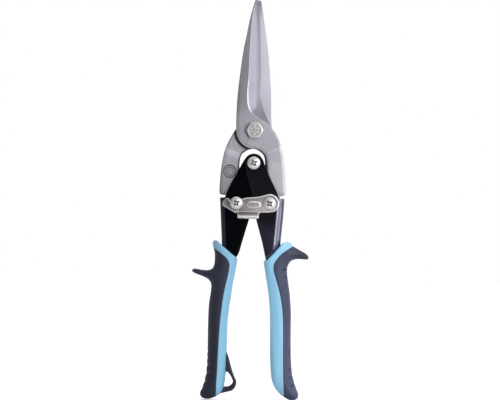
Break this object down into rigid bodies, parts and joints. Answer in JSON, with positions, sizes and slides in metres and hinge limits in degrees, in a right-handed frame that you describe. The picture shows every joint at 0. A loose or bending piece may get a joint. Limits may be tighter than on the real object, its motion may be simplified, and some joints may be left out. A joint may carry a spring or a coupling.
{
  "type": "metal shear",
  "caption": "Compound-action long-cut tin snips with hex pivot bolt, swinging latch, opening spring and two-tone blue and dark grips.",
  "frame": {"origin": "On the main pivot axis, at the rear face of the pivot nut and bolt end (the plane the tool lies on), with the tips up +Z, +X to the right of the front face and the front face toward -Y.", "axes": "+Z runs from the main pivot to the jaw tips, +X to the right seen from the front, +Y to the back of the tool, out of the rest plane."},
  "size_m": [0.0844, 0.022, 0.2906],
  "materials": {
    "forged_steel": "satin",
    "plated_fastener": "satin",
    "black_steel": "satin",
    "spring_steel": "satin",
    "bush_brass": "satin",
    "latch_steel": "satin",
    "blue_plastic": "satin",
    "dark_rubber": "matte"
  },
  "bodies": {
    "right_handle": {"right_handle_frame": "black_steel", "right_grip_core": "blue_plastic", "right_grip_overmould": "dark_rubber", "handle_pivot_screw": "plated_fastener", "handle_pivot_sleeve_nut": "plated_fastener", "spring_bush": "bush_brass", "opening_spring": "spring_steel", "right_tail_screw": "plated_fastener", "right_tail_sleeve_nut": "plated_fastener", "latch_friction_washer": "bush_brass"},
    "left_handle": {"left_handle_frame": "black_steel", "left_grip_core": "blue_plastic", "left_grip_overmould": "dark_rubber", "lanyard_loop": "dark_rubber", "left_tail_screw": "plated_fastener", "left_tail_sleeve_nut": "plated_fastener"},
    "front_jaw": {"front_blade": "forged_steel", "pivot_bolt": "plated_fastener", "pivot_washer": "plated_fastener", "pivot_nut": "plated_fastener"},
    "rear_jaw": {"rear_blade": "forged_steel"},
    "latch": {"latch_plate": "latch_steel"}
  },
  "joints": [
    {"name": "handle_open", "type": "hinge", "parent": "right_handle", "child": "left_handle", "pos_m": [0, -0.011, -0.0236], "axis": [0, 1, 0], "range_deg": [0, 40], "deforming": ["opening_spring"]},
    {"name": "front_blade_pivot", "type": "hinge", "parent": "right_handle", "child": "front_jaw", "pos_m": [0.012, -0.011, -0.0528], "axis": [0, 1, 0], "range_deg": [0, 9.54]},
    {"name": "rear_blade_pivot", "type": "hinge", "parent": "left_handle", "child": "rear_jaw", "pos_m": [-0.012, -0.011, -0.0528], "axis": [0, -1, 0], "range_deg": [0, 9.54]},
    {"name": "latch_swing", "type": "hinge", "parent": "right_handle", "child": "latch", "pos_m": [0.012, -0.011, -0.0528], "axis": [0, -1, 0], "range_deg": [0, 60]}
  ],
  "couplings": [
    {"joint": "front_blade_pivot", "follows": "handle_open", "ratio": 0.2385},
    {"joint": "rear_blade_pivot", "follows": "handle_open", "ratio": 0.2385},
    {"joint": "latch_swing", "follows": "handle_open", "ratio": 1.5}
  ]
}
